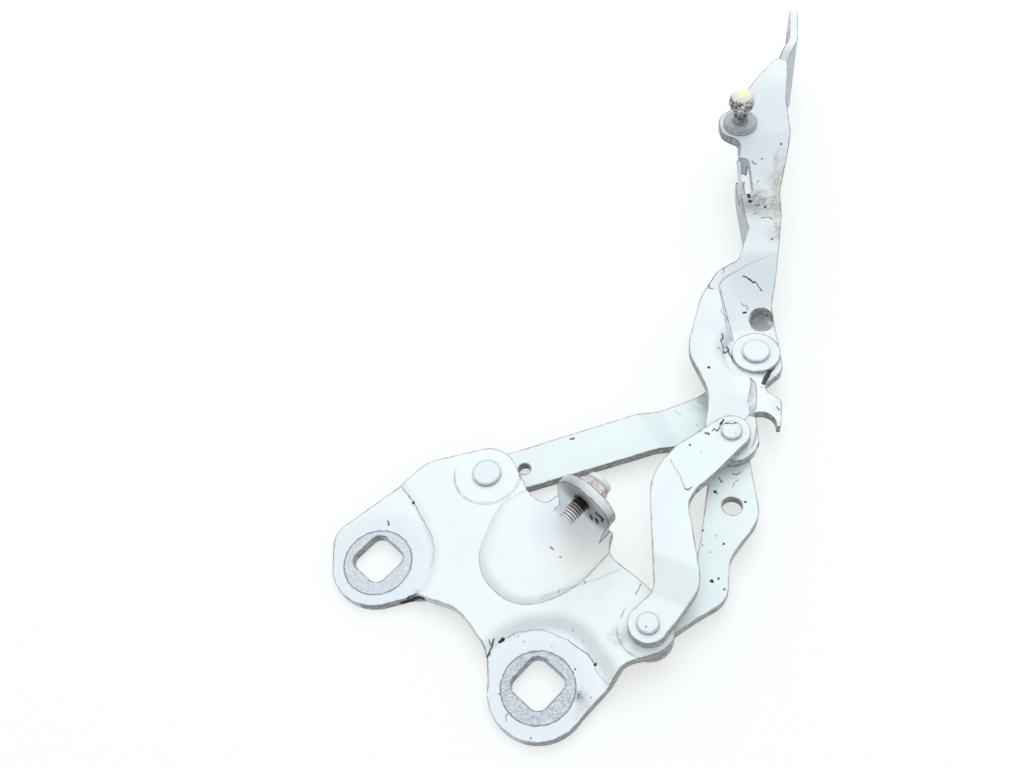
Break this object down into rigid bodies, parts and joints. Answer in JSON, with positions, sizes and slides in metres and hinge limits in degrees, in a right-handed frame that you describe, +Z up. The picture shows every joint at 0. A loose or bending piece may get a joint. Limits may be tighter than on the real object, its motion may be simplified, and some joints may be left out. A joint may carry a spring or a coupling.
{
  "type": "bonnet hinge",
  "caption": "Pressed-steel car bonnet hinge: square-holed bracket, front and rear links on rivets, and a long folded arm with a gas-strut ball stud.",
  "frame": {"origin": "the bolt's place in the front ear, at the underside of the ear's sheet, 1.3 mm short of the centre of the square adjusting hole", "axes": "+Z up along the four pivot axes, +X towards the links' side of the bracket, +Y roughly along the arm towards its bonnet flange"},
  "size_m": [0.192, 0.3142, 0.0523],
  "materials": {
    "paint": "pale silver-white paint, a little grimy",
    "zinc": "bare zinc-plated steel",
    "bolt_steel": "dull steel",
    "nut_yellow": "yellow passivated zinc, dull",
    "ball_steel": "worn steel with old grease",
    "bush_bronze": "dull bearing bronze"
  },
  "bodies": {
    "bracket": {"fender_bracket": "paint", "stop_bolt": "bolt_steel", "stop_nut": "nut_yellow", "front_bracket_bush": "bush_bronze", "rear_bracket_bush": "bush_bronze"},
    "front_links": {"front_link_upper": "paint", "front_link_lower": "paint", "front_bracket_rivet": "paint", "front_bracket_upper_washer": "zinc", "front_bracket_lower_washer": "zinc", "front_arm_rivet": "paint", "front_arm_upper_washer": "zinc", "front_arm_lower_washer": "zinc"},
    "rear_link": {"rear_link": "paint", "rear_bracket_rivet": "paint", "rear_bracket_washer": "zinc", "rear_arm_rivet": "paint", "rear_arm_washer": "zinc", "arm_disc": "paint"},
    "arm": {"bonnet_arm": "paint", "ball_stud": "ball_steel", "front_arm_bush": "bush_bronze"}
  },
  "joints": [
    {"name": "front_links_on_bracket", "type": "hinge", "parent": "bracket", "child": "front_links", "pos_m": [0.0349, 0.0152, 0], "axis": [0, 0, 1], "range_deg": [-28, 2]},
    {"name": "arm_on_front_links", "type": "hinge", "parent": "front_links", "child": "arm", "pos_m": [0.0682, 0.0824, 0], "axis": [0, 0, 1], "range_deg": [-4.5, 59]},
    {"name": "rear_link_on_bracket", "type": "hinge", "parent": "bracket", "child": "rear_link", "pos_m": [-0.0163, 0.0756, 0], "axis": [0, 0, 1], "range_deg": [-11.5, 1]}
  ],
  "couplings": [
    {"joint": "arm_on_front_links", "follows": "front_links_on_bracket", "ratio": -2.0909},
    {"joint": "rear_link_on_bracket", "follows": "front_links_on_bracket", "ratio": 0.3937}
  ]
}
